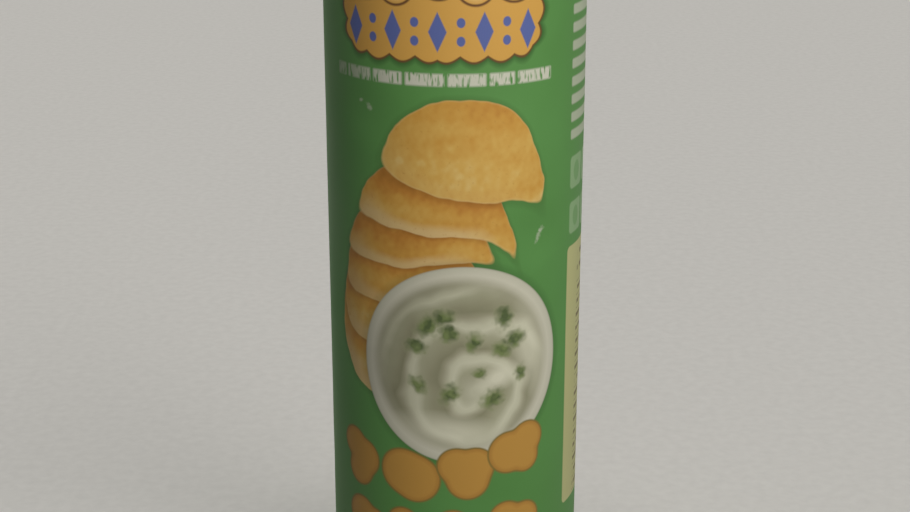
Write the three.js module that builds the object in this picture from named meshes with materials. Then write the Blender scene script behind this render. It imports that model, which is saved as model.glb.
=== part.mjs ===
// A shut tube of stacked potato crisps: a board tube with a printed label, a seamed steel end
// under it and a push-fit plastic lid over its curled rim.
// Millimetres, +Z up. The origin is the middle of the ring that the tube stands on.
import * as THREE from "three";

// Driving dimensions.
const overallHeight = 235;
const bodyDiameter = 75;
const seamDiameter = 77.4; // over the steel double seam, and over the curled board rim
const lidDiameter = 79.8;
const fitGap = 0.3; // clearance between one piece and the next
const roundSegments = 96; // facets round the tube

// Steel end.
const seamHeight = 3.2;
const seamThickness = 2.7; // from the seam's outside to the countersink wall
const seamRounding = 0.5;
const countersinkDepth = 3.6; // how far the end's panel sits above the surface that it stands on
const steelThickness = 0.4;

// Curled rim at the top of the board wall.
const curlRadius = 1.4;
const curlSteps = 8; // facets round the curl's section

// Lid.
const lidSkirtHeight = 8.5;
const lidThickness = 0.9;
const lidCornerChamfer = 0.8; // inside corner between the plate and the skirt
const stackingRidgeHeight = 0.8;
const stackingRidgeWidth = 1.9;
const snapDepth = 0.7; // how far the snap ring inside the skirt reaches in under the curl
const snapHeight = 1.4;

// Radii and heights worked out from the dimensions above.
const bodyRadius = bodyDiameter / 2;
const seamRadius = seamDiameter / 2;
const lidRadius = lidDiameter / 2;
const countersinkRadius = seamRadius - seamThickness;
const collarRadius = countersinkRadius + steelThickness;
const panelTop = countersinkDepth + steelThickness;
const lidPlateTop = overallHeight - stackingRidgeHeight;
const lidPlateUnderside = lidPlateTop - lidThickness;
const curlTop = lidPlateUnderside - fitGap;
const curlBottom = curlTop - 2 * curlRadius;

const finishes = {
  steel: new THREE.MeshStandardMaterial({ color: 0xb9bbbd, roughness: 0.3, metalness: 1 }),
  label: new THREE.MeshStandardMaterial({ color: 0x5f9a58, roughness: 0.38, metalness: 0 }),
  lid: new THREE.MeshStandardMaterial({ color: 0xe9e8e2, roughness: 0.45, metalness: 0 }),
};

// A profile is a list of [radius, height] pairs that starts and ends on the axis, lowest first.
function turned(name, profile, material) {
  const points = profile.map(([radius, height]) => new THREE.Vector2(radius, height));
  const geometry = new THREE.LatheGeometry(points, roundSegments);
  geometry.rotateX(Math.PI / 2);
  const mesh = new THREE.Mesh(geometry, material);
  mesh.name = name;
  return mesh;
}

// The outer side of the curl, from where it leaves the wall to its top.
function curlSection() {
  const centreRadius = seamRadius - curlRadius;
  const centreHeight = curlTop - curlRadius;
  const startAngle = -Math.acos((bodyRadius - centreRadius) / curlRadius);
  const sweep = Math.PI / 2 - startAngle;
  return Array.from({ length: curlSteps + 1 }, (_, step) => {
    const angle = startAngle + (sweep * step) / curlSteps;
    return [
      centreRadius + curlRadius * Math.cos(angle),
      centreHeight + curlRadius * Math.sin(angle),
    ];
  });
}

// The seam is the ring that the tube stands on. The panel inside it is held clear of that surface.
function steelEnd() {
  const profile = [
    [0, countersinkDepth],
    [countersinkRadius - seamRounding, countersinkDepth],
    [countersinkRadius, countersinkDepth - seamRounding],
    [countersinkRadius, seamRounding],
    [countersinkRadius + seamRounding, 0],
    [seamRadius - seamRounding, 0],
    [seamRadius, seamRounding],
    [seamRadius, seamHeight - seamRounding],
    [seamRadius - seamRounding, seamHeight],
    [collarRadius, seamHeight],
    [collarRadius, panelTop],
    [0, panelTop],
  ];
  return turned("steel_end", profile, finishes.steel);
}

// The tube is shut at both ends, so it is solid out to its printed label.
function boardTube() {
  const wallInside = collarRadius + fitGap;
  const profile = [
    [0, panelTop + fitGap],
    [wallInside, panelTop + fitGap],
    [wallInside, seamHeight + fitGap],
    [bodyRadius, seamHeight + fitGap],
    ...curlSection(),
    [0, curlTop],
  ];
  return turned("board_tube", profile, finishes.label);
}

// The skirt reaches down past the curl, and the snap ring inside it sits under the curl.
function plasticLid() {
  const skirtInside = seamRadius + fitGap;
  const skirtBottom = overallHeight - lidSkirtHeight;
  const snapTop = curlBottom - fitGap;
  const snapRadius = skirtInside - snapDepth;
  const ridgeInside = lidRadius - stackingRidgeWidth;
  const profile = [
    [0, lidPlateUnderside],
    [skirtInside - lidCornerChamfer, lidPlateUnderside],
    [skirtInside, lidPlateUnderside - lidCornerChamfer],
    [skirtInside, snapTop],
    [snapRadius, snapTop - snapDepth / 2],
    [snapRadius, snapTop - snapHeight],
    [skirtInside, snapTop - snapHeight - snapDepth / 2],
    [skirtInside, skirtBottom],
    [lidRadius, skirtBottom],
    [lidRadius, overallHeight - stackingRidgeHeight],
    [lidRadius - stackingRidgeHeight / 2, overallHeight],
    [ridgeInside, overallHeight],
    [ridgeInside - stackingRidgeHeight, lidPlateTop],
    [0, lidPlateTop],
  ];
  return turned("plastic_lid", profile, finishes.lid);
}

const crispTube = new THREE.Group();
crispTube.add(steelEnd(), boardTube(), plasticLid());

export default crispTube;
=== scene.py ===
import bpy
import math
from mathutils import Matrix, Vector


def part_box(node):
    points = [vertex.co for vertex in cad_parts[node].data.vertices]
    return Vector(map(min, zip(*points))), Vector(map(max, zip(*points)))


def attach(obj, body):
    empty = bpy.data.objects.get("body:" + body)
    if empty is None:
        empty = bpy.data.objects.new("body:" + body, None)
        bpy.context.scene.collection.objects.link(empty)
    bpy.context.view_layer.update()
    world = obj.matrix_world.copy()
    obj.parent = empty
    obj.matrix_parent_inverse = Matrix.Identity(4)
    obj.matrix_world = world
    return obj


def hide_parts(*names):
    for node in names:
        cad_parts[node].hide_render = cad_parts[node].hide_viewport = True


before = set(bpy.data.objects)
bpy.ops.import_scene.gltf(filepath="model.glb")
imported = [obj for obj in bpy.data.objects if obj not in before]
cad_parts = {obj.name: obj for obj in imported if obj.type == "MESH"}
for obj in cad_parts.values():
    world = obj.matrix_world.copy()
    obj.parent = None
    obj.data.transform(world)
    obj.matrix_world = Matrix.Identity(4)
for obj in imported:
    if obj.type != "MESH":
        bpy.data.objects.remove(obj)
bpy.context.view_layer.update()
mm = 0.001


def linearColour(hexColour):
    # an sRGB hex colour as the linear numbers that a shader takes
    channels = [int(hexColour[place:place + 2], 16) / 255 for place in (0, 2, 4)]
    return [c / 12.92 if c <= 0.04045 else ((c + 0.055) / 1.055) ** 2.4 for c in channels] + [1]


def addNode(tree, kind, inputs=(), out=0, stops=None, **settings):
    # one shader node, its kind without the prefix; each input is a number, a colour or another
    # node's output, by place or by name
    node = tree.nodes.new("ShaderNode" + kind)
    for name, value in settings.items():
        setattr(node, name, value)
    for place, value in (inputs.items() if isinstance(inputs, dict) else enumerate(inputs)):
        if isinstance(value, bpy.types.NodeSocket):
            tree.links.new(value, node.inputs[place])
        elif value is not None:
            node.inputs[place].default_value = value
    for index, (position, colour) in enumerate(stops or ()):
        elements = node.color_ramp.elements
        element = elements[index] if index < 2 else elements.new(position)
        element.position = position
        element.color = linearColour(colour)
    return node.outputs[out]


def newMaterial(name, finish):
    # a Principled material; what is the same all over is set on the shader's own sockets
    material = bpy.data.materials.new(name)
    material.use_nodes = True
    shader = material.node_tree.nodes["Principled BSDF"]
    for socket, value in finish.items():
        shader.inputs[socket].default_value = value
    return material, material.node_tree, shader


def deselectAll():
    if bpy.context.mode != "OBJECT":
        bpy.ops.object.mode_set(mode="OBJECT")
    bpy.ops.object.select_all(action="DESELECT")


def selectVertices(piece, test):
    # leaves the piece in edit mode with just the vertices that pass the test selected
    bpy.ops.object.mode_set(mode="EDIT")
    bpy.ops.mesh.select_mode(type="VERT")
    bpy.ops.mesh.select_all(action="DESELECT")
    bpy.ops.object.mode_set(mode="OBJECT")
    for vertex in piece.data.vertices:
        vertex.select = test(vertex.co)
    bpy.ops.object.mode_set(mode="EDIT")


def applyModifiers(piece):
    for modifier in list(piece.modifiers):
        bpy.ops.object.modifier_apply(modifier=modifier.name)


def arc(centreRadius, centreHeight, radius, fromDegrees, toDegrees, steps):
    # points round a section, 0 degrees facing out from the axis and 90 facing up
    turns = [fromDegrees + (toDegrees - fromDegrees) * step / steps for step in range(steps + 1)]
    return [(centreRadius + radius * math.cos(math.radians(turn)),
             centreHeight + radius * math.sin(math.radians(turn))) for turn in turns]


def turnPiece(profile, segments):
    # a disc at the first ring; the open edge is then extruded, lifted and resized ring by ring
    deselectAll()
    radius, height = profile[0]
    bpy.ops.mesh.primitive_circle_add(vertices=segments, radius=radius * mm, fill_type="TRIFAN",
                                      location=(0, 0, height * mm))
    piece = bpy.context.object
    bpy.ops.object.transform_apply(location=True)
    bpy.ops.object.mode_set(mode="EDIT")
    bpy.ops.mesh.select_mode(type="EDGE")
    bpy.ops.mesh.select_all(action="DESELECT")
    bpy.ops.mesh.select_non_manifold()
    for nextRadius, nextHeight in profile[1:]:
        rise = (nextHeight - height) * mm
        bpy.ops.mesh.extrude_edges_move(TRANSFORM_OT_translate={"value": (0, 0, rise)})
        share = nextRadius / radius
        bpy.ops.transform.resize(value=(share, share, 1), center_override=(0, 0, 0))
        radius, height = nextRadius, nextHeight
    bpy.ops.mesh.extrude_edges_move()
    bpy.ops.mesh.merge(type="CENTER")
    bpy.ops.mesh.select_all(action="SELECT")
    bpy.ops.mesh.normals_make_consistent(inside=False)
    bpy.ops.object.mode_set(mode="OBJECT")
    return piece


def finishPiece(piece, name, node, material, smoothAngle=40):
    bpy.ops.object.transform_apply(location=True, rotation=True, scale=True)
    bpy.ops.object.shade_smooth_by_angle(angle=math.radians(smoothAngle))
    piece.name = name
    piece.data.name = name
    piece.data.materials.clear()
    piece.data.materials.append(material)
    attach(piece, "root")
    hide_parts(node)
    print(name, len(piece.data.polygons), "faces")


seamLow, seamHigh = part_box("steel_end")
tubeLow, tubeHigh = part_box("board_tube")
lidLow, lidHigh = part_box("plastic_lid")


# Printed label: one paper sheet wrapped round the tube and lapped over its own start.
# Places on it are in mm round from the middle of the front, positive to the right, and mm high.

label = {
    "radius": 37.5,
    "thickness": 0.14,
    "bottomGap": 0.05,  # from the tube's lower end up to the sheet
    "topGap": 3.6,  # from the sheet up to the top of the curled rim
    "seamPlace": 72,
    "lap": 6,
    "lapRise": 0.17,
    "lapEase": 3,  # how far the sheet takes to climb onto the lap
    "dentCore": 1.6,  # the part of a dent that is pushed in all the way
    "waviness": 0.12,
    "rippleSize": 22,
    "columns": 288,
    "rows": 110,
    "plySlope": 0.46,
    "plyRidge": (1.6, 0.2),  # from its foot to its crest, either side of the seam between two plies
    "artShift": 4.2,  # the picture's middle stands this far left of the front
    "cloudSize": 28.6,  # patches where the ink is laid a little thicker
    "toothSize": 0.77,  # the paper's fibres, drawn coarser than real so that they show
}
label["bottom"] = tubeLow.z / mm + label["bottomGap"]
label["top"] = tubeHigh.z / mm - label["topGap"]
label["length"] = 2 * math.pi * label["radius"] + label["lap"]
label["height"] = label["top"] - label["bottom"]
label["start"] = label["seamPlace"] - label["length"]

dents = [  # mm round, mm high, depth, reach
    (25.5, 130, 0.30, 9),
    (-26, 166, 0.25, 11),
    (-66, 52, 0.40, 13),
    (101, 187, 0.35, 12),
    (48, 24, 0.30, 10),
]


def pressDent(piece, place, height, depth, reach):
    turn = place / label["radius"]
    outward = (math.sin(turn), -math.cos(turn))
    middle = (outward[0] * label["radius"] * mm, outward[1] * label["radius"] * mm, height * mm)
    selectVertices(piece, lambda at: math.dist(at, middle) < label["dentCore"] * mm)
    push = (-outward[0] * depth * mm, -outward[1] * depth * mm, 0)
    bpy.ops.transform.translate(value=push, use_proportional_edit=True, use_proportional_connected=True,
                                proportional_edit_falloff="SMOOTH", proportional_size=reach * mm)
    bpy.ops.object.mode_set(mode="OBJECT")


def makeLabelSheet():
    deselectAll()
    bpy.ops.mesh.primitive_grid_add(x_subdivisions=label["columns"], y_subdivisions=label["rows"],
                                    size=1, rotation=(math.pi / 2, 0, 0))
    sheet = bpy.context.object
    sheet.data.uv_layers[0].name = "OFBake"
    bpy.ops.object.transform_apply(rotation=True)
    bpy.ops.object.mode_set(mode="EDIT")
    bpy.ops.transform.resize(value=(label["length"] * mm, 1, label["height"] * mm),
                             center_override=(0, 0, 0))
    lapStart = (label["length"] / 2 - label["lap"]) * mm
    selectVertices(sheet, lambda at: at.x > lapStart)
    bpy.ops.transform.translate(value=(0, -label["lapRise"] * mm, 0), use_proportional_edit=True,
                                proportional_edit_falloff="SMOOTH",
                                proportional_size=label["lapEase"] * mm)
    bpy.ops.object.mode_set(mode="OBJECT")
    wrap = sheet.modifiers.new("wrap", "SIMPLE_DEFORM")  # bent past a full turn by the lap
    wrap.deform_method = "BEND"
    wrap.deform_axis = "Z"
    wrap.angle = label["length"] / label["radius"]
    applyModifiers(sheet)
    sheet.location = (0, -label["radius"] * mm, (label["bottom"] + label["top"]) / 2 * mm)
    bpy.ops.object.transform_apply(location=True)
    sheet.rotation_euler.z = (label["start"] + label["length"] / 2) / label["radius"]
    bpy.ops.object.transform_apply(rotation=True)
    for dent in dents:
        pressDent(sheet, *dent)
    ripple = bpy.data.textures.new("woundBoardRipple", "CLOUDS")  # the board under it isn't quite round
    ripple.noise_scale = label["rippleSize"] * mm
    uneven = sheet.modifiers.new("uneven", "DISPLACE")
    uneven.texture = ripple
    uneven.texture_coords = "LOCAL"
    uneven.strength = label["waviness"] * mm
    uneven.mid_level = 0.5
    paper = sheet.modifiers.new("paper", "SOLIDIFY")
    paper.thickness = label["thickness"] * mm
    paper.offset = -1
    applyModifiers(sheet)
    return sheet


# The inks. Each shape gives a field that is under its edge inside and over it outside, and an ink
# is laid wherever the field is under that edge.

inks = {
    "green": "609B53",
    "greenDeep": "5B954D",
    "amber": "E1AF56",
    "gold": "EDC378",
    "outline": "6E4A28",
    "blue": "6070B2",
    "white": "ECEAE0",
    "cream": "CDCF96",
    "orange": "CE9E4C",
    "orangeShade": "BC8A40",
    "orangeEdge": "8C7A3C",
    "text": "6B5E42",
    "palePatch": "AFCFA4",
    "barBlack": "2E2C28",
    "paleMark": "C9D6BE",
    "bareEdge": "D8D4C6",
}
ink = {name: linearColour(hexColour) for name, hexColour in inks.items()}


def ovalShape(tree, place, centre, radii, turn=0):
    # the field is 0 in the middle and 1 on the edge; also gives the place within the oval
    spin = (0, 0, math.radians(turn))
    within = addNode(tree, "Mapping", {
        "Vector": place, "Location": (*centre, 0), "Rotation": spin, "Scale": (*radii, 1)},
        vector_type="TEXTURE")
    return addNode(tree, "VectorMath", [within], out="Value", operation="LENGTH"), within


def diamondShape(tree, place, centre, halfSize):
    # the field is 0 in the middle and 1 on the edge
    across = (1 / halfSize[0], 1 / halfSize[1], 0)
    off = addNode(tree, "VectorMath", [place, (*centre, 0)], operation="SUBTRACT")
    off = addNode(tree, "VectorMath", [off], operation="ABSOLUTE")
    return addNode(tree, "VectorMath", [off, across], out="Value", operation="DOT_PRODUCT")


def panelShape(tree, place, centre, halfSize, corner):
    # the field is in mm from the edge of a panel with round corners
    off = addNode(tree, "VectorMath", [place, (*centre, 0)], operation="SUBTRACT")
    off = addNode(tree, "VectorMath", [off], operation="ABSOLUTE")
    inner = (halfSize[0] - corner, halfSize[1] - corner, 0)
    off = addNode(tree, "VectorMath", [off, inner], operation="SUBTRACT")
    off = addNode(tree, "VectorMath", [off, (0, 0, 0)], operation="MAXIMUM")
    reach = addNode(tree, "VectorMath", [off], out="Value", operation="LENGTH")
    return addNode(tree, "Math", [reach, corner], operation="SUBTRACT")


def puffShape(tree, place, lobes, softness):
    # round lobes run together into one pebble; the field is in mm from its edge
    field = None
    for x, y, radius in lobes:
        reach = addNode(tree, "VectorMath", [place, (x, y, 0)], out="Value", operation="DISTANCE")
        lobe = addNode(tree, "Math", [reach, radius], operation="SUBTRACT")
        field = lobe if field is None else addNode(
            tree, "Math", [field, lobe, softness], operation="SMOOTH_MIN")
    return field


def layInk(tree, printed, colour, field, edge=0.0, soft=0.25, strength=1.0, mode="MIX"):
    # of a colour Mix, 0 is the share, 6 and 7 are the two colours and 2 is what comes out
    cover = addNode(tree, "MapRange", [field, edge + soft / 2, edge - soft / 2, 0, strength])
    return addNode(tree, "Mix", {0: cover, 6: printed, 7: colour}, out=2,
                   data_type="RGBA", blend_type=mode)


crisps = [  # back of the fan to the front: centre, radii, turn, arch, shade, how pale its lower lip is
    ((-19, 101), (15.5, 20), 14, 0.10, 0.66, 0.80),
    ((-15.5, 112.5), (18.5, 15), 20, 0.20, 0.60, 0.65),
    ((-11.5, 123), (21, 12), 12, 0.35, 0.51, 0.55),
    ((-8, 132.5), (22.5, 9.5), 6, 0.60, 0.48, 0.70),
    ((-1.5, 142.5), (24.2, 10), -3, 0.95, 0.48, 0.75),
    ((8.0, 156.4), (24.2, 14.2), -6, 0.52, 0.62, 0.10),
]
crispPrint = {
    "tones": [(0.0, "B2782B"), (0.25, "C98C3A"), (0.5, "D9A64C"), (0.75, "E3BA62"), (1.0, "EDD28A")],
    "lip": "EBD19A",
    "toasted": "BD7F33",
    "shadow": "94895C",
    "lopside": 0.12,  # how much further the right end droops than the left
    "stray": 3.2,  # mm that an outline strays from a true oval
    "strayLength": 11.1,  # mm from one stray to the next
    "lumpSize": 3.33,
    "lightStep": (-1.0, -0.4, 0),  # mm from one reading of the lumps to the other
    "streakLength": 28.6,
    "streakWidth": 7.7,
    "blisterPitch": 5,
    "grainSize": 1.25,
}


def printCrisps(tree, printed, art):
    stray = crispPrint["stray"]
    bend = addNode(tree, "TexNoise",
                   {"Vector": art, "Scale": 1 / crispPrint["strayLength"], "Detail": 2}, out="Color")
    uncut = addNode(tree, "VectorMath", [bend, (stray, stray, 0), art], operation="MULTIPLY_ADD")
    uncut = addNode(tree, "VectorMath", [uncut, (stray / 2, stray / 2, 0)], operation="SUBTRACT")
    # relief lit from the upper right: the difference of one noise read twice, a little apart
    turned = addNode(tree, "Mapping", {"Vector": art, "Rotation": (0, 0, 0.6)})
    aside = addNode(tree, "VectorMath", [turned, crispPrint["lightStep"]], operation="ADD")
    lumps = {"Scale": 1 / crispPrint["lumpSize"], "Detail": 1, "Roughness": 0.5}
    lit = addNode(tree, "TexNoise", {"Vector": turned, **lumps})
    shaded = addNode(tree, "TexNoise", {"Vector": aside, **lumps})
    relief = addNode(tree, "Math", [shaded, lit], operation="SUBTRACT")
    drawnOut = (1 / crispPrint["streakLength"], 1 / crispPrint["streakWidth"], 1)
    streaks = addNode(tree, "Mapping", {"Vector": art, "Rotation": (0, 0, 0.2), "Scale": drawnOut})
    streaks = addNode(tree, "TexNoise", {"Vector": streaks, "Scale": 1, "Detail": 2})
    uneven = addNode(tree, "Math", [streaks, 0.7, -0.35], operation="MULTIPLY_ADD")
    uneven = addNode(tree, "Math", [relief, 0.36, uneven], operation="MULTIPLY_ADD")
    # a few round blisters, in about a third of the cells of a cell noise
    cells = addNode(tree, "TexVoronoi", {"Vector": turned, "Scale": 1 / crispPrint["blisterPitch"]})
    raised = addNode(tree, "SeparateColor", [cells.node.outputs["Color"]])
    raised = addNode(tree, "MapRange", [raised, 0.60, 0.75, 0, 0.12])
    blister = addNode(tree, "MapRange", [cells, 0.36, 0.10, 0, 1], interpolation_type="SMOOTHSTEP")
    uneven = addNode(tree, "Math", [raised, blister, uneven], operation="MULTIPLY_ADD")
    grain = addNode(tree, "TexNoise",
                    {"Vector": turned, "Scale": 1 / crispPrint["grainSize"], "Detail": 2})
    spots = addNode(tree, "MapRange", [grain, 0.62, 0.78, 0, 0.3])
    shadow, pale, toasted = (linearColour(crispPrint[tone]) for tone in ("shadow", "lip", "toasted"))
    shapes = []
    for centre, radii, turn, arch, _, _ in crisps:
        # a saddle of a crisp seen from one side: an oval whose two ends droop
        _, within = ovalShape(tree, uncut, centre, radii, turn)
        across = addNode(tree, "SeparateXYZ", [within])
        square = addNode(tree, "Math", [across, across], operation="MULTIPLY")
        droop = addNode(tree, "Math", [across, crispPrint["lopside"]], operation="ADD")
        droop = addNode(tree, "Math", [droop, droop], operation="MULTIPLY")
        droop = addNode(tree, "Math", [droop, droop], operation="MULTIPLY")
        droop = addNode(tree, "Math", [droop, arch, across.node.outputs["Y"]], operation="MULTIPLY_ADD")
        within = addNode(tree, "CombineXYZ", [across, droop])
        field = addNode(tree, "VectorMath", [within], out="Value", operation="LENGTH")
        shapes.append((field, across, square, droop))
    for index, (_, radii, _, _, shade, lipLight) in enumerate(crisps):
        field, across, square, droop = shapes[index]
        printed = layInk(tree, printed, shadow, field, 1.04, 0.16, 0.40, "MULTIPLY")
        saddle = addNode(tree, "Math", [square, -0.6, droop], operation="MULTIPLY_ADD")
        tone = addNode(tree, "Math", [saddle, -0.12, shade], operation="MULTIPLY_ADD")
        tone = addNode(tree, "Math", [tone, uneven], operation="ADD")
        if index + 1 < len(crisps):
            under = addNode(tree, "MapRange", [shapes[index + 1][0], 1.4, 1.0, 0, 0.24],
                            interpolation_type="SMOOTHSTEP")
            tone = addNode(tree, "Math", [tone, under], operation="SUBTRACT")
        crisp = addNode(tree, "ValToRGB", [tone], stops=crispPrint["tones"])
        # its lower edge and left end curl up into the light: a soft pale lip
        foot = addNode(tree, "Math", [across, 0.45, droop], operation="MULTIPLY_ADD")
        foot = addNode(tree, "MapRange", [foot, -0.15, -0.75, 0, lipLight])
        lip = addNode(tree, "MapRange", [field, 0.62, 0.90, 0, 1], interpolation_type="SMOOTHSTEP")
        lip = addNode(tree, "Math", [lip, foot], operation="MULTIPLY")
        crisp = addNode(tree, "Mix", {0: lip, 6: crisp, 7: pale}, out=2, data_type="RGBA")
        crisp = addNode(tree, "Mix", {0: spots, 6: crisp, 7: toasted}, out=2, data_type="RGBA")
        rim = addNode(tree, "Math", [1.0, field], operation="SUBTRACT")
        crisp = layInk(tree, crisp, pale, rim, 0.015, 0.05, 0.4)
        printed = layInk(tree, printed, crisp, field, 1.0, 0.35 / min(radii))
    return printed


bowl = {
    "centre": (6.3, 93.6),
    "radii": (30.2, 30),
    "foldCentre": (10, 86),
    "swirl": 17,  # how fast the fold winds outwards
    "drift": 6.5,  # how far it wanders
    "driftSize": 18.2,
    "heart": "D2D4BD",  # the middle of the fold
    "shadow": "66785A",
    "glaze": [(0.0, "C4C4AF"), (0.76, "B7B7A0"), (0.82, "B3B39C"), (0.87, "CDCDBA"), (0.92, "E0E0CF"),
              (0.98, "D6D7C5"), (1.0, "C3C4B2")],
    "cream": [(0.0, "95967A"), (0.15, "A3A388"), (0.42, "B9BBA0"), (0.62, "E2E4CD"), (0.74, "DADCC4"),
              (0.90, "ADAC93"), (1.0, "95967A")],
    "shade": "9A9981",
    "light": "F0F1DC",
    "gleams": [  # x, height, half length, half height, turn, strength
        (16.6, 89.6, 5.6, 3.4, 22, 0.9), (3, 73.6, 14, 4.6, -8, 0.7), (26.5, 97, 5, 12, 12, 0.6),
    ],
    "flecks": [  # x, height, length, turn
        (-3.8, 105.6, 7.0, 60), (0.8, 108.2, 6.4, 15), (2.4, 103.6, 6.0, -35), (-7.0, 99.4, 5.4, 5),
        (9.6, 101.0, 5.6, 80), (18.4, 107.6, 6.2, 100), (21.8, 100.8, 6.6, 35), (17.8, 98.4, 5.8, -25),
        (-6.6, 87.8, 5.6, -35), (2.6, 85.4, 6.2, 50), (11.4, 91.4, 4.0, 0), (15.2, 83.4, 6.6, 25),
        (23.6, 90.4, 4.4, 90),
    ],
    "herb": ("788B53", "495E31", "A9AF8C"),  # pale, dark and the stain round each fleck
    "ragged": 3.4,  # how far a fleck's outline strays
    "raggedSize": 2.38,
}


def printBowl(tree, printed, art):
    # a round bowl of cream seen from above, with a fold wound into it and flecks of herb
    field, within = ovalShape(tree, art, bowl["centre"], bowl["radii"])
    printed = layInk(tree, printed, linearColour(bowl["shadow"]), field, 1.03, 0.12, 0.45, "MULTIPLY")
    glaze = addNode(tree, "ValToRGB", [field], stops=bowl["glaze"])
    # the cream: brightness runs from shade to light across each turn of a spiral
    reach, fold = ovalShape(tree, art, bowl["foldCentre"], bowl["radii"])
    across = addNode(tree, "SeparateXYZ", [fold])
    bearing = addNode(tree, "Math", [across.node.outputs["Y"], across], operation="ARCTAN2")
    drift = addNode(tree, "TexNoise", {"Vector": art, "Scale": 1 / bowl["driftSize"], "Detail": 2})
    phase = addNode(tree, "Math", [reach, bowl["swirl"], bearing], operation="MULTIPLY_ADD")
    phase = addNode(tree, "Math", [drift, bowl["drift"], phase], operation="MULTIPLY_ADD")
    turns = addNode(tree, "Math", [phase, 1 / (2 * math.pi)], operation="MULTIPLY")
    turns = addNode(tree, "Math", [turns], operation="FRACT")
    cream = addNode(tree, "ValToRGB", [turns], stops=bowl["cream"])
    cream = layInk(tree, cream, linearColour(bowl["heart"]), reach, 0.12, 0.16)
    glaze = layInk(tree, glaze, cream, field, 0.80, 0.14, 0.9)
    # it is shaded at the upper left, away from the light, most of all along the wall
    facing = addNode(tree, "VectorMath", [within, (-0.75, 0.5, 0)], out="Value", operation="DOT_PRODUCT")
    ring = addNode(tree, "Math", [field, 0.75], operation="SUBTRACT")
    ring = addNode(tree, "Math", [ring], operation="ABSOLUTE")
    ring = addNode(tree, "MapRange", [ring, 0.15, 0.0, 0.6, 1], interpolation_type="SMOOTHSTEP")
    shaded = addNode(tree, "MapRange", [facing, -0.15, 0.75, 0, 0.36])
    shaded = addNode(tree, "Math", [shaded, ring], operation="MULTIPLY")
    inside = addNode(tree, "MapRange", [field, 0.90, 0.80, 0.15, 1])
    shaded = addNode(tree, "Math", [shaded, inside], operation="MULTIPLY")
    glaze = addNode(tree, "Mix", {0: shaded, 6: glaze, 7: linearColour(bowl["shade"])}, out=2,
                    data_type="RGBA", blend_type="MULTIPLY")
    for x, height, length, width, turn, strength in bowl["gleams"]:
        gleam, _ = ovalShape(tree, art, (x, height), (length, width), turn)
        glaze = layInk(tree, glaze, linearColour(bowl["light"]), gleam, 0.85, 1.1, strength)
    stray = bowl["ragged"]
    jitter = addNode(tree, "TexNoise",
                     {"Vector": art, "Scale": 1 / bowl["raggedSize"], "Detail": 1}, out="Color")
    ragged = addNode(tree, "VectorMath", [jitter, (stray, stray, 0), art], operation="MULTIPLY_ADD")
    ragged = addNode(tree, "VectorMath", [ragged, (stray / 2, stray / 2, 0)], operation="SUBTRACT")
    nearest = 2.0
    for x, height, length, turn in bowl["flecks"]:
        fleck, _ = ovalShape(tree, ragged, (x, height), (length / 2, length / 2.7), turn)
        nearest = addNode(tree, "Math", [nearest, fleck], operation="MINIMUM")
    mottle = addNode(tree, "MapRange", [jitter, 0.4, 0.6, 0, 1])
    pale, dark, stain = (linearColour(tone) for tone in bowl["herb"])
    leaf = addNode(tree, "Mix", {0: mottle, 6: dark, 7: pale}, out=2, data_type="RGBA")
    glaze = layInk(tree, glaze, stain, nearest, 1.25, 0.8, 0.5)
    glaze = layInk(tree, glaze, leaf, nearest, 0.9, 0.8, 0.92)
    return layInk(tree, printed, glaze, field, 1.0, 0.4 / bowl["radii"][1])


pebbles = [  # rows of plain puffs under and over the bowl's edge; each is a list of lobes x, y, radius
    [(-29.8, 64, 4.7), (-25.4, 60.6, 5.6), (-27.4, 56.2, 4.9)],
    [(-11.2, 59.6, 7.0), (-7.6, 58, 7.3)],
    [(4.6, 62.6, 5.4), (10, 62.4, 5.6), (8, 58.4, 6.2)],
    [(20.4, 65.6, 6.3), (26.4, 68.8, 5.2), (25.8, 63, 4.4)],
    [(-27, 41.6, 5.4), (-21.8, 39.6, 5.0), (-25.4, 36.6, 4.8)],
    [(-11.4, 42.6, 5.0), (-8.6, 38.4, 5.6)],
    [(3.6, 42.8, 5.4), (8.8, 41.2, 5.2), (5, 38.4, 5.0)],
    [(19.6, 44.4, 5.2), (21.4, 39.8, 5.2), (25.6, 43.6, 4.8)],
]
puffSoftness = 2.2  # mm over which two lobes run together


def printPebbles(tree, printed, art, rows, fill, shade, edge, outline=0.5):
    for lobes in rows:
        field = puffShape(tree, art, lobes, puffSoftness)
        printed = layInk(tree, printed, edge, field, outline, 0.5)
        printed = layInk(tree, printed, shade, field, 0.0, 0.4)
        printed = layInk(tree, printed, fill, field, -0.7, 1.4)
    return printed


badge = {
    "centre": (-0.5, 201.75),
    "halfSize": (28.6, 18.75),
    "corner": 9,
    "scallop": 7.5,  # from one bump of the edge to the next, a whole number to each side
    "scallopDepth": 1.7,
    "outline": 0.6,
    "shadow": "557A4A",
    "gemHeight": 189.4,
    "gemPitch": 6.3,
    "gemHalfSize": (2.5, 5.4),
    "dotRadii": (1.15, 1.35),
    "dotRise": 2.5,
}
badgePuffs = [  # the larger gold puffs along the badge's upper half
    [(-21.6, 203.5, 6.2), (-20.2, 209, 4.6)],
    [(-11.0, 206, 6.3), (-12.2, 201.5, 5.0)],
    [(-0.2, 204.5, 6.2), (0.9, 210.5, 4.5)],
    [(10.4, 206, 6.3), (9.8, 201.8, 5.0)],
    [(20.8, 203.5, 6.2), (20.3, 209, 4.6)],
]


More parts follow.
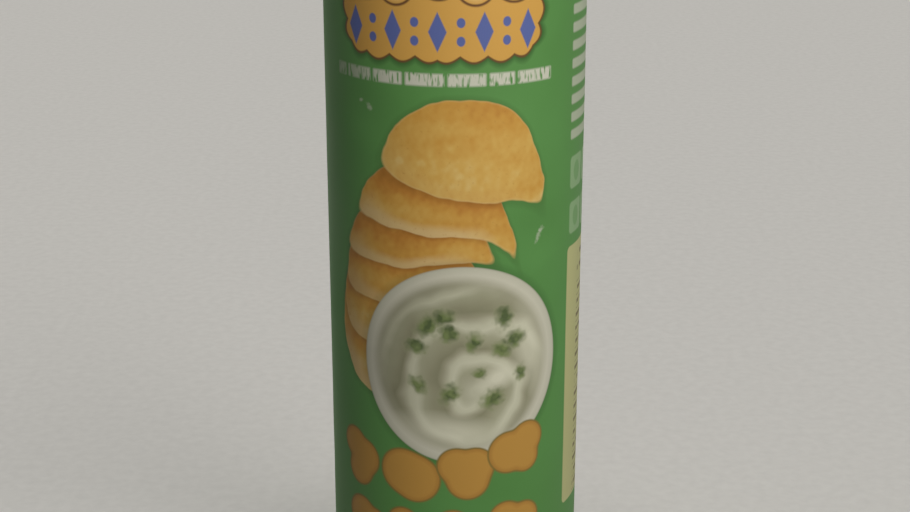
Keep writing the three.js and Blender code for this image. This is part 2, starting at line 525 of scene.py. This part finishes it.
def printBadge(tree, printed, art):
    # a plain plaque with a scalloped edge, gold puffs and a row of blue diamonds and dots
    field = panelShape(tree, art, badge["centre"], badge["halfSize"], badge["corner"])
    off = addNode(tree, "VectorMath", [art, (*badge["centre"], 0)], operation="SUBTRACT")
    off = addNode(tree, "VectorMath", [off], operation="ABSOLUTE")
    off = addNode(tree, "VectorMath", [off, (*badge["halfSize"], 0)], operation="SUBTRACT")
    off = addNode(tree, "SeparateXYZ", [off])
    along = addNode(tree, "Math", [off, off.node.outputs["Y"]], operation="MINIMUM")
    wave = addNode(tree, "Math", [along, math.pi / badge["scallop"]], operation="MULTIPLY")
    wave = addNode(tree, "Math", [wave], operation="SINE")
    wave = addNode(tree, "Math", [wave], operation="ABSOLUTE")
    field = addNode(tree, "Math", [wave, -badge["scallopDepth"], field], operation="MULTIPLY_ADD")
    printed = layInk(tree, printed, linearColour(badge["shadow"]), field, 1.6, 2.0, 0.7, "MULTIPLY")
    printed = layInk(tree, printed, ink["outline"], field, badge["outline"], 0.5)
    printed = layInk(tree, printed, ink["amber"], field, 0.0, 0.4)
    printed = printPebbles(tree, printed, art, badgePuffs, ink["gold"], ink["amber"], ink["outline"], 0.7)
    for step in range(-4, 5):
        x = badge["centre"][0] + badge["gemPitch"] * step
        if step % 2:
            for rise in (-badge["dotRise"], badge["dotRise"]):
                dot, _ = ovalShape(tree, art, (x, badge["gemHeight"] + rise), badge["dotRadii"])
                printed = layInk(tree, printed, ink["blue"], dot, 1.0, 0.25)
        else:
            gem = diamondShape(tree, art, (x, badge["gemHeight"]), badge["gemHalfSize"])
            printed = layInk(tree, printed, ink["blue"], gem, 1.0, 0.15)
    return printed


tagline = {
    "height": 176.4,
    "capHeight": 3.3,
    "words": [  # where each starts and ends
        (-34, -30.4), (-29.3, -20.6), (-19.5, -10.6), (-9.5, 1.2), (2.3, 12.6), (13.7, 20.8), (21.9, 33),
    ],
    "strokePitch": 0.87,
    "strokeHeight": 3.85,
    "inked": 0.42,  # the share of a word that the strokes fill, roughly
    "shadedLeftEnd": (-32, -14),  # its white is laid thinner towards its left end between these places: painted shade for the tube's darker left side
}


def printTagline(tree, printed, art):
    # one line of small white print under the badge, as a row of words made of loose upright strokes
    words = None
    for start, end in tagline["words"]:
        word = panelShape(tree, art, ((start + end) / 2, tagline["height"]),
                          ((end - start) / 2, tagline["capHeight"] / 2), 0.3)
        words = word if words is None else addNode(tree, "Math", [words, word], operation="MINIMUM")
    drawnUp = (tagline["strokePitch"], tagline["strokeHeight"], 1)
    upright = addNode(tree, "VectorMath", [art, drawnUp], operation="DIVIDE")
    stroke = addNode(tree, "TexNoise", {"Vector": upright, "Scale": 1, "Detail": 1})
    stroke = addNode(tree, "Math", [tagline["inked"], stroke], operation="SUBTRACT")
    stroke = addNode(tree, "Math", [stroke, 4.0], operation="MULTIPLY")
    field = addNode(tree, "Math", [words, stroke], operation="MAXIMUM")
    left = addNode(tree, "SeparateXYZ", [art])
    # painted shade: the white is laid thinner towards the left, where the tube is darker
    leftShade = addNode(tree, "MapRange", [left, *tagline["shadedLeftEnd"], 0.45, 0.92])
    return layInk(tree, printed, ink["white"], field, 0.0, 0.8, leftShade)


rightPanel = {
    "middle": 54.8,
    "barLengths": (30, 27, 29, 22, 30, 25, 28, 19),
    "barStart": 39.6,
    "barTop": 192,
    "barPitch": 5.1,
    "barHeight": 2.8,
    "patchHeights": (145, 131.5),
    "patchPitch": 10.4,
    "patchHalfSize": (4.6, 4.8),
    "seedRadii": (2.2, 3),
    "tableHeight": 82,
    "tableHalfSize": (15.8, 41),
    "rules": 17,
    "rulesMiddle": 58,
    "rulesBottom": 42,
    "rulePitch": 4.25,
    "ruleHalfSize": (10.6, 0.11),
}


def printRightPanel(tree, printed, place):
    # a column of white bars, six pale patches and a ruled cream table
    panel = rightPanel
    for step, length in enumerate(panel["barLengths"]):
        centre = (panel["barStart"] + length / 2, panel["barTop"] - panel["barPitch"] * step)
        bar = panelShape(tree, place, centre, (length / 2, panel["barHeight"] / 2), 0.6)
        printed = layInk(tree, printed, ink["white"], bar, 0.0, 0.6, 0.55)
    for height in panel["patchHeights"]:
        for step in (-1, 0, 1):
            centre = (panel["middle"] + panel["patchPitch"] * step, height)
            patch = panelShape(tree, place, centre, panel["patchHalfSize"], 1.4)
            printed = layInk(tree, printed, ink["palePatch"], patch, 0.0, 0.5, 0.6)
            seed, _ = ovalShape(tree, place, centre, panel["seedRadii"])
            printed = layInk(tree, printed, ink["green"], seed, 1.0, 0.2, 0.5)
    centre = (panel["middle"], panel["tableHeight"])
    table = panelShape(tree, place, centre, panel["tableHalfSize"], 1.6)
    printed = layInk(tree, printed, ink["cream"], table, 0.0, 0.3)
    for step in range(panel["rules"]):
        centre = (panel["rulesMiddle"], panel["rulesBottom"] + panel["rulePitch"] * step)
        rule = panelShape(tree, place, centre, panel["ruleHalfSize"], 0.1)
        printed = layInk(tree, printed, ink["text"], rule, 0.0, 0.2, 0.7)
    return printed


leftBox = {
    "centre": (-71.5, 91.5),
    "halfSize": (11.5, 17.5),
    "barsHalfSize": (9.5, 15),
    "barStep": 0.5,  # every bar is a whole number of these high
}


def printLeftBox(tree, printed, place):
    # a white box of plain bars
    box = panelShape(tree, place, leftBox["centre"], leftBox["halfSize"], 1.2)
    printed = layInk(tree, printed, ink["white"], box, 0.0, 0.3)
    bars = panelShape(tree, place, leftBox["centre"], leftBox["barsHalfSize"], 0.1)
    up = addNode(tree, "SeparateXYZ", [place], out="Y")
    count = addNode(tree, "Math", [up, leftBox["barStep"]], operation="DIVIDE")
    count = addNode(tree, "Math", [count], operation="FLOOR")
    chance = addNode(tree, "TexWhiteNoise", {"W": count}, noise_dimensions="1D")
    chance = addNode(tree, "Math", [chance, 0.5], operation="SUBTRACT")
    bars = addNode(tree, "Math", [bars, chance], operation="MAXIMUM")
    return layInk(tree, printed, ink["barBlack"], bars, 0.0, 0.05)


smallPrint = [  # ink, centre, half size, pitch and height of its rows, usual length of a dash, strength
    ("text", (58, 116.5), (10.5, 4.4), (4.4, 1.5), 5, 0.85),
    ("text", (54, 76), (6.5, 34), (4.25, 1.2), 2.6, 0.85),
    ("text", (65.8, 76), (2.6, 34), (4.25, 1.2), 1.6, 0.85),
    ("white", (54.8, 22.5), (14, 10), (3.3, 1.2), 2.6, 0.8),
    ("white", (-71.5, 189), (11.5, 3), (6, 2.4), 6, 0.85),
    ("white", (-71.5, 151), (11.5, 31), (3.1, 1.25), 2.6, 0.8),
    ("white", (-71.5, 50), (11.5, 17), (3.1, 1.25), 2.6, 0.8),
]
rowJump = 13.7  # how far apart in the noise two rows are read, so that no two are alike
dashShare = 0.415  # lower leaves more gaps between the dashes


def printRows(tree, printed, place, colour, centre, halfSize, rows, word, strength):
    # rows of plain dashes of uneven length, set out like lines of small print
    pitch, height = rows
    panel = panelShape(tree, place, centre, halfSize, 0.2)
    corner = (centre[0] - halfSize[0], centre[1] - halfSize[1], 0)
    ruled = addNode(tree, "Mapping", {"Vector": place, "Location": corner, "Scale": (word, pitch, 1)},
                    vector_type="TEXTURE")
    along = addNode(tree, "SeparateXYZ", [ruled])
    row = addNode(tree, "Math", [along.node.outputs["Y"]], operation="FLOOR")
    within = addNode(tree, "Math", [along.node.outputs["Y"]], operation="FRACT")
    within = addNode(tree, "Math", [within, 0.5], operation="SUBTRACT")
    within = addNode(tree, "Math", [within], operation="ABSOLUTE")
    within = addNode(tree, "Math", [within, pitch, -height / 2], operation="MULTIPLY_ADD")
    rowShift = addNode(tree, "Math", [row, rowJump], operation="MULTIPLY")
    at = addNode(tree, "CombineXYZ", [along, rowShift])
    chance = addNode(tree, "TexNoise", {"Vector": at, "Scale": 1, "Detail": 1}, noise_dimensions="2D")
    gap = addNode(tree, "Math", [dashShare, chance], operation="SUBTRACT")
    gap = addNode(tree, "Math", [gap, word * 2], operation="MULTIPLY")
    field = addNode(tree, "Math", [panel, within], operation="MAXIMUM")
    field = addNode(tree, "Math", [field, gap], operation="MAXIMUM")
    return layInk(tree, printed, colour, field, 0.0, 0.3, strength)


paleMarks = [  # small pale marks on the print: mm round, mm high, half length, half width, turn
    (25.5, 130.2, 1.9, 0.6, 66),
    (26.5, 131.8, 0.9, 0.5, 20),
    (-25.5, 167.2, 1.0, 0.7, -40),
    (-28.5, 168.6, 0.6, 0.45, 10),
    (88, 60, 2.0, 0.4, 35),
    (-97, 150, 1.6, 0.45, 80),
    (60, 15, 1.8, 0.5, -15),
]


def paleMarksAndEdges(tree, printed, place, grain):
    # the pale marks, the sheet's worn lower edge and the pale cut edge of the lap
    for x, y, length, width, turn in paleMarks:
        paleMarkField, _ = ovalShape(tree, place, (x, y), (length, width), turn)
        paleMarkField = addNode(tree, "Math", [grain, 2.2, paleMarkField], operation="MULTIPLY_ADD")
        printed = layInk(tree, printed, ink["paleMark"], paleMarkField, 2.1, 1.1, 0.55)
    up = addNode(tree, "SeparateXYZ", [place])
    worn = addNode(tree, "Math", [grain, -1.6, up.node.outputs["Y"]], operation="MULTIPLY_ADD")
    printed = layInk(tree, printed, ink["bareEdge"], worn, label["bottom"] - 0.35, 0.5, 0.8)
    fromLap = addNode(tree, "Math", [label["seamPlace"], up], operation="SUBTRACT")
    fromLap = addNode(tree, "Math", [grain, -0.7, fromLap], operation="MULTIPLY_ADD")
    return layInk(tree, printed, ink["bareEdge"], fromLap, -0.15, 0.3, 0.8)


def labelPaperMaterial():
    # coated label paper, offset printed under a thin matt varnish: flat inks with a soft, even sheen,
    # and the board's faint unevenness in it
    material, tree, shader = newMaterial("varnishedLabelPaper", {"IOR": 1.5, "Roughness": 0.6})
    flat = addNode(tree, "UVMap", uv_map="OFBake")
    place = addNode(tree, "VectorMath", [
        flat, (label["length"], label["height"], 0), (label["start"], label["bottom"], 0)],
        operation="MULTIPLY_ADD")
    around = addNode(tree, "SeparateXYZ", [place])
    half = math.pi * label["radius"] / 2  # the design is printed twice round the tube
    artX = addNode(tree, "Math", [around, label["artShift"]], operation="ADD")
    artX = addNode(tree, "Math", [artX, half, -half], operation="WRAP")
    art = addNode(tree, "CombineXYZ", [artX, around.node.outputs["Y"]])

    cloud = addNode(tree, "TexNoise", {"Vector": place, "Scale": 1 / label["cloudSize"], "Detail": 2})
    thick = addNode(tree, "MapRange", [cloud, 0.35, 0.65, 0, 1])
    printed = addNode(tree, "Mix", {0: thick, 6: ink["greenDeep"], 7: ink["green"]}, out=2,
                      data_type="RGBA")
    printed = printCrisps(tree, printed, art)
    printed = printBowl(tree, printed, art)
    printed = printTagline(tree, printed, art)
    printed = printBadge(tree, printed, art)
    printed = printPebbles(tree, printed, art, pebbles, ink["orange"], ink["orangeShade"],
                           ink["orangeEdge"])
    printed = printRightPanel(tree, printed, place)
    printed = printLeftBox(tree, printed, place)
    for colour, *block in smallPrint:
        printed = printRows(tree, printed, place, ink[colour], *block)

    tooth = addNode(tree, "TexNoise", {"Vector": place, "Scale": 1 / label["toothSize"], "Detail": 3})
    printed = paleMarksAndEdges(tree, printed, place, tooth)
    grey = addNode(tree, "MapRange", [tooth, 0.3, 0.7, 0.94, 1.04])
    printed = addNode(tree, "VectorMath", [printed, grey], operation="SCALE")
    tree.links.new(printed, shader.inputs["Base Color"])
    gloss = addNode(tree, "MapRange", [cloud, 0.3, 0.7, 0.55, 0.64])
    tree.links.new(gloss, shader.inputs["Roughness"])
    # the board's ply seam shows through as a faint ridge that climbs round the tube once in its height
    climb = addNode(tree, "VectorMath", [place, (-label["plySlope"], 1, 0)], out="Value",
                    operation="DOT_PRODUCT")
    plyPitch = 2 * math.pi * label["radius"] * label["plySlope"]
    climb = addNode(tree, "Math", [climb, plyPitch / 2, -plyPitch / 2], operation="WRAP")
    climb = addNode(tree, "Math", [climb], operation="ABSOLUTE")
    ridge = addNode(tree, "MapRange", [climb, *label["plyRidge"], 0, 1.5],
                    interpolation_type="SMOOTHSTEP")
    height = addNode(tree, "Math", [tooth, ridge], operation="ADD")
    bump = addNode(tree, "Bump", {"Strength": 0.3, "Distance": 0.05 * mm, "Height": height})
    tree.links.new(bump, shader.inputs["Normal"])
    return material


labelSheet = makeLabelSheet()
finishPiece(labelSheet, "printedLabel", "board_tube", labelPaperMaterial())


# Board tube under the label: only the curled rim shows, up inside the lid's skirt.

tube = {
    "radius": label["radius"] - label["thickness"] - 0.06,
    "wall": 0.75,
    "curlRadius": 1.4,
    "core": 20,  # the closed middle of the tube's two ends
    "footRecess": 0.82,
    "board": [(0.3, "9A8A72"), (0.5, "B4A488"), (0.7, "C9BA9E")],
    "fibreSize": 1.1,  # coarser than real, so that it shows
    "segments": 128,
}


def greyboardMaterial():
    # spiral-wound greyboard: matt, fibrous, warm grey-brown
    material, tree, shader = newMaterial("woundGreyboard", {"IOR": 1.45, "Roughness": 0.9})
    at = addNode(tree, "TexCoord", out="Object")
    fibres = addNode(tree, "TexNoise", {
        "Vector": at, "Scale": 1 / (tube["fibreSize"] * mm), "Detail": 5, "Roughness": 0.7})
    board = addNode(tree, "ValToRGB", [fibres], stops=tube["board"])
    tree.links.new(board, shader.inputs["Base Color"])
    bump = addNode(tree, "Bump", {"Strength": 0.6, "Distance": 0.08 * mm, "Height": fibres})
    tree.links.new(bump, shader.inputs["Normal"])
    return material


def makeBoardTube():
    bottom = tubeLow.z / mm
    top = tubeHigh.z / mm
    inner = tube["radius"] - tube["wall"]
    curl = tube["curlRadius"]
    floor = bottom + tube["footRecess"]
    profile = [(tube["core"], floor), (inner, floor), (inner, bottom), (tube["radius"], bottom)]
    profile += [(tube["radius"], bottom + 1.5), (inner, bottom + 4), (inner, top - 8)]
    profile += [(tube["radius"], top - 2 * curl - 0.4)]
    profile += arc(tubeHigh.x / mm - curl, top - curl, curl, -88, 90, 12)
    profile += [(tube["core"], top)]
    return turnPiece(profile, tube["segments"])


boardTube = makeBoardTube()
finishPiece(boardTube, "boardTube", "board_tube", greyboardMaterial())


# Steel end under the tube: the double seam is the ring that it stands on.

steelEnd = {
    "seamHeight": 3.2,
    "seamThickness": 2.4,
    "seamRounding": 0.9,
    "hookRounding": 0.7,  # the seam's upper edge, folded in against the board
    "panelHeight": 3.1,
    "panelThickness": 0.75,
    "beads": ((9, 0.35), (24, 0.45), (29.5, 0.45)),  # radius and rise of the rings pressed into it
    "beadWidth": 3.2,
    "tin": [(0.3, "C1C0BD"), (0.5, "C6C5C2"), (0.7, "CBCAC7")],
    "rollingLine": (17, 0.4, 1.1),  # length, width and depth of a rolling line, coarser than real
    "stainSize": 14,
    "segments": 160,
}


def tinplateMaterial():
    # tin-plated steel, cold rolled: bright but soft reflections, drawn out along the rolling lines
    material, tree, shader = newMaterial("rolledTinplate", {"Metallic": 1.0, "Roughness": 0.3})
    at = addNode(tree, "TexCoord", out="Object")
    perLine = [1 / (size * mm) for size in steelEnd["rollingLine"]]
    drawn = addNode(tree, "Mapping", {"Vector": at, "Scale": perLine})
    lines = addNode(tree, "TexNoise", {"Vector": drawn, "Scale": 1, "Detail": 4, "Roughness": 0.6})
    stain = addNode(tree, "TexNoise",
                    {"Vector": at, "Scale": 1 / (steelEnd["stainSize"] * mm), "Detail": 3})
    metal = addNode(tree, "ValToRGB", [stain], stops=steelEnd["tin"])
    tree.links.new(metal, shader.inputs["Base Color"])
    gloss = addNode(tree, "MapRange", [lines, 0.3, 0.7, 0.20, 0.36])
    tree.links.new(gloss, shader.inputs["Roughness"])
    bump = addNode(tree, "Bump", {"Strength": 0.3, "Distance": 0.02 * mm, "Height": lines})
    tree.links.new(bump, shader.inputs["Normal"])
    return material


def makeSteelEnd():
    outer = seamHigh.x / mm
    wall = outer - steelEnd["seamThickness"]
    panel = steelEnd["panelHeight"]
    half = steelEnd["beadWidth"] / 2
    under = [(2, panel)]
    for ring, rise in steelEnd["beads"]:
        for out, up in ((-1, 0), (-0.56, 0.6), (0, 1), (0.56, 0.6), (1, 0)):
            under += [(ring + half * out, panel + rise * up)]
    # the step round the panel, then down the countersink to the seam
    under += [(33.2, panel), (33.8, panel + 0.1), (34.1, panel + 0.5), (34.5, panel + 0.85)]
    under += [(35.3, panel + 0.85), (wall - 0.12, panel + 0.5), (wall, panel - 0.1), (wall, 1.0)]
    rounding = steelEnd["seamRounding"]
    seam = arc(wall + rounding, rounding, rounding, 180, 270, 6)
    seam += arc(outer - rounding, rounding, rounding, 270, 360, 6)
    hook = steelEnd["hookRounding"]
    seam += [(outer, 2.3)] + arc(outer - hook, steelEnd["seamHeight"] - hook, hook, 10, 90, 6)
    above = panel + steelEnd["panelThickness"]
    inside = [(wall + 0.5, steelEnd["seamHeight"]), (wall + 0.5, panel + 0.9)]
    inside += [(wall, panel + 1.1), (34.2, panel + 1.1), (33.4, above), (2, above)]
    return turnPiece(under + seam + inside, steelEnd["segments"])


endPiece = makeSteelEnd()
finishPiece(endPiece, "seamedSteelEnd", "steel_end", tinplateMaterial())


# Push-fit lid.

lid = {
    "skirtThickness": 0.9,
    "headroom": 0.3,  # between the plate and the curled rim
    "grip": 0.7,  # how far the ring inside the skirt reaches in under the curl
    "ridgeWidth": 1.1,
    "ridgeRounding": (0.65, 0.35),  # outside and inside
    "panelDrop": 0.9,
    "plastic": [(0.3, "D6D4CA"), (0.5, "DDDBD1"), (0.7, "E2E0D7")],
    "flowSize": 18,
    "peelSize": 1.4,  # the mould's faint orange peel, coarser than real
    "segments": 192,
}


def lidPlasticMaterial():
    # injection-moulded polyethylene: milky, softly glossy, light bleeding a little into its edges
    material, tree, shader = newMaterial("mouldedPolyethylene", {
        "IOR": 1.51, "Roughness": 0.4, "Subsurface Weight": 0.25, "Subsurface Scale": 2 * mm})
    at = addNode(tree, "TexCoord", out="Object")
    flow = addNode(tree, "TexNoise", {"Vector": at, "Scale": 1 / (lid["flowSize"] * mm), "Detail": 3})
    plastic = addNode(tree, "ValToRGB", [flow], stops=lid["plastic"])
    tree.links.new(plastic, shader.inputs["Base Color"])
    peel = addNode(tree, "TexNoise", {"Vector": at, "Scale": 1 / (lid["peelSize"] * mm), "Detail": 2})
    gloss = addNode(tree, "MapRange", [peel, 0.3, 0.7, 0.34, 0.46])
    tree.links.new(gloss, shader.inputs["Roughness"])
    bump = addNode(tree, "Bump", {"Strength": 0.25, "Distance": 0.03 * mm, "Height": peel})
    tree.links.new(bump, shader.inputs["Normal"])
    return material


def makeLid():
    top = lidHigh.z / mm
    bottom = lidLow.z / mm
    outer = lidHigh.x / mm
    inner = outer - lid["skirtThickness"]
    panel = top - lid["panelDrop"]
    under = tubeHigh.z / mm + lid["headroom"]
    curlBottom = tubeHigh.z / mm - 2 * tube["curlRadius"]
    grip = lid["grip"]
    # under the plate, down inside the skirt, round the ring that grips the curl
    profile = [(10, under), (inner - 0.8, under), (inner, under - 0.8), (inner, curlBottom - 0.3)]
    profile += arc(inner, curlBottom - 0.3 - grip, grip, 90, 270, 8)
    # the skirt's foot, with a thin lip, and up the outside
    profile += [(inner, bottom + 0.35), (inner + 0.2, bottom), (outer - 0.05, bottom)]
    profile += arc(outer - 0.05, bottom + 0.45, 0.2, -70, 70, 5)
    profile += [(outer - 0.15, bottom + 1.0), (outer - 0.15, top - 1.5), (outer - 0.1, top - 1.1)]
    # over the stacking ridge
    outside, inside = lid["ridgeRounding"]
    ridgeMiddle = outer - 0.1 - outside
    profile += arc(ridgeMiddle, top - outside, outside, 0, 90, 8)
    ridge = ridgeMiddle - lid["ridgeWidth"]
    profile += arc(ridge, top - inside, inside, 90, 170, 5)
    # a shallow groove, a faint step in the panel and the gate mark in its middle
    profile += [(ridge - 0.7, panel - 0.1), (ridge - 1.0, panel - 0.2), (ridge - 2.4, panel - 0.2)]
    profile += [(ridge - 2.8, panel - 0.1), (ridge - 3.3, panel + 0.12), (ridge - 3.8, panel + 0.16)]
    profile += [(24.4, panel + 0.16), (24.1, panel + 0.12), (23.9, panel - 0.02), (23.6, panel - 0.05)]
    profile += [(4.2, panel - 0.05), (3.9, panel - 0.1), (3.6, panel - 0.3), (3.3, panel - 0.34)]
    profile += [(1.1, panel - 0.34), (0.95, panel - 0.28), (0.85, panel - 0.05), (0.6, panel)]
    return turnPiece(profile, lid["segments"])


lidPiece = makeLid()
finishPiece(lidPiece, "pushFitLid", "plastic_lid", lidPlasticMaterial(), 30)


# Floor, light and camera.

studio = {
    "floorRings": (0.5, 1.5, 4.5, 14),
    "floorPaint": [(0.3, "E4E5E4"), (0.7, "EAEBEA")],
    "rollerSize": 4,  # mm, the texture of rolled paint
    "paleAir": ("E6E3DD", 0.62),  # what the camera sees past the floor
    "softAir": ("F4F1EC", 0.06),  # what lights the object
    "lens": 67.25,
    "cameraPlace": (0, -0.4818, 0.2797),
    "cameraAim": (0, 0, 0.114),
}


def makeFloor():
    deselectAll()
    radius = studio["floorRings"][0]
    bpy.ops.mesh.primitive_circle_add(vertices=96, radius=radius, fill_type="TRIFAN")
    floor = bpy.context.object
    bpy.ops.object.mode_set(mode="EDIT")
    bpy.ops.mesh.select_mode(type="EDGE")
    bpy.ops.mesh.select_all(action="DESELECT")
    bpy.ops.mesh.select_non_manifold()
    for nextRadius in studio["floorRings"][1:]:
        share = nextRadius / radius
        bpy.ops.mesh.extrude_edges_move()
        bpy.ops.transform.resize(value=(share, share, 1), center_override=(0, 0, 0))
        radius = nextRadius
    bpy.ops.object.mode_set(mode="OBJECT")
    floor.name = "studioFloor"
    floor.visible_diffuse = False  # it throws no light back up at the object's shaded side
    material, tree, shader = newMaterial("mattFloorPaint", {"Roughness": 0.9, "Specular IOR Level": 0.0})
    at = addNode(tree, "TexCoord", out="Object")
    roller = addNode(tree, "TexNoise",
                     {"Vector": at, "Scale": 1 / (studio["rollerSize"] * mm), "Detail": 3})
    paint = addNode(tree, "ValToRGB", [roller], stops=studio["floorPaint"])
    tree.links.new(paint, shader.inputs["Base Color"])
    floor.data.materials.append(material)


lamps = {  # place, point it faces, width, height, power in watts, colour
    "keySoftbox": ((0.21, -0.416, 0.50), (0, 0, 0.13), 0.25, 0.25, 2.1, "FFF9F0"),
    "leftStrip": ((-0.75, -0.42, 0.46), (0, 0, 0.12), 0.10, 0.5, 0.13, "FFF9F0"),
}
suns = {  # degrees right of the front, degrees up, degrees across, strength, colour
    "softSun": (52, 36, 38, 0.50, "FFFAF2"),
    "topSun": (0, 90, 30, 0.93, "FFFBF5"),
    "backSun": (200, 35, 45, 0.95, "FFFAF3"),
}


def aimAt(thing, target):
    thing.rotation_euler = (Vector(target) - thing.location).to_track_quat("-Z", "Y").to_euler()


def makeLamps():
    # the two lamps stand close and light the tube alone; the suns also light the floor, evenly
    tubeOnly = bpy.data.collections.new("tubeOnly")
    for piece in (labelSheet, boardTube, endPiece, lidPiece):
        tubeOnly.objects.link(piece)
    for name, (place, target, width, height, power, colour) in lamps.items():
        lamp = bpy.data.lights.new(name, "AREA")
        lamp.shape = "RECTANGLE"
        lamp.size = width
        lamp.size_y = height
        lamp.energy = power
        lamp.color = linearColour(colour)[:3]
        holder = bpy.data.objects.new(name, lamp)
        holder.location = place
        holder.visible_camera = False
        holder.light_linking.receiver_collection = tubeOnly
        bpy.context.scene.collection.objects.link(holder)
        aimAt(holder, target)
    for name, (right, up, across, strength, colour) in suns.items():
        sun = bpy.data.lights.new(name, "SUN")
        sun.energy = strength
        sun.angle = math.radians(across)
        sun.color = linearColour(colour)[:3]
        holder = bpy.data.objects.new(name, sun)
        holder.location = Vector((math.sin(math.radians(right)) * math.cos(math.radians(up)),
                                  -math.cos(math.radians(right)) * math.cos(math.radians(up)),
                                  math.sin(math.radians(up))))
        bpy.context.scene.collection.objects.link(holder)
        aimAt(holder, (0, 0, 0))
    world = bpy.data.worlds.new("studioAir")
    world.use_nodes = True
    tree = world.node_tree
    tree.nodes.clear()
    soft = addNode(tree, "Background", [linearColour(studio["softAir"][0]), studio["softAir"][1]])
    pale = addNode(tree, "Background", [linearColour(studio["paleAir"][0]), studio["paleAir"][1]])
    seen = addNode(tree, "LightPath", out="Is Camera Ray")
    air = addNode(tree, "MixShader", [seen, soft, pale])
    tree.links.new(air, tree.nodes.new("ShaderNodeOutputWorld").inputs[0])
    bpy.context.scene.world = world


def makeCamera():
    lens = bpy.data.cameras.new("studioCamera")
    lens.lens = studio["lens"]
    lens.sensor_width = 36
    lens.clip_start = 0.01
    camera = bpy.data.objects.new("studioCamera", lens)
    camera.location = studio["cameraPlace"]
    bpy.context.scene.collection.objects.link(camera)
    aimAt(camera, studio["cameraAim"])
    bpy.context.scene.camera = camera
    bpy.context.scene.view_settings.view_transform = "Standard"


makeFloor()
makeLamps()
makeCamera()
print("floor, lamps and camera placed")
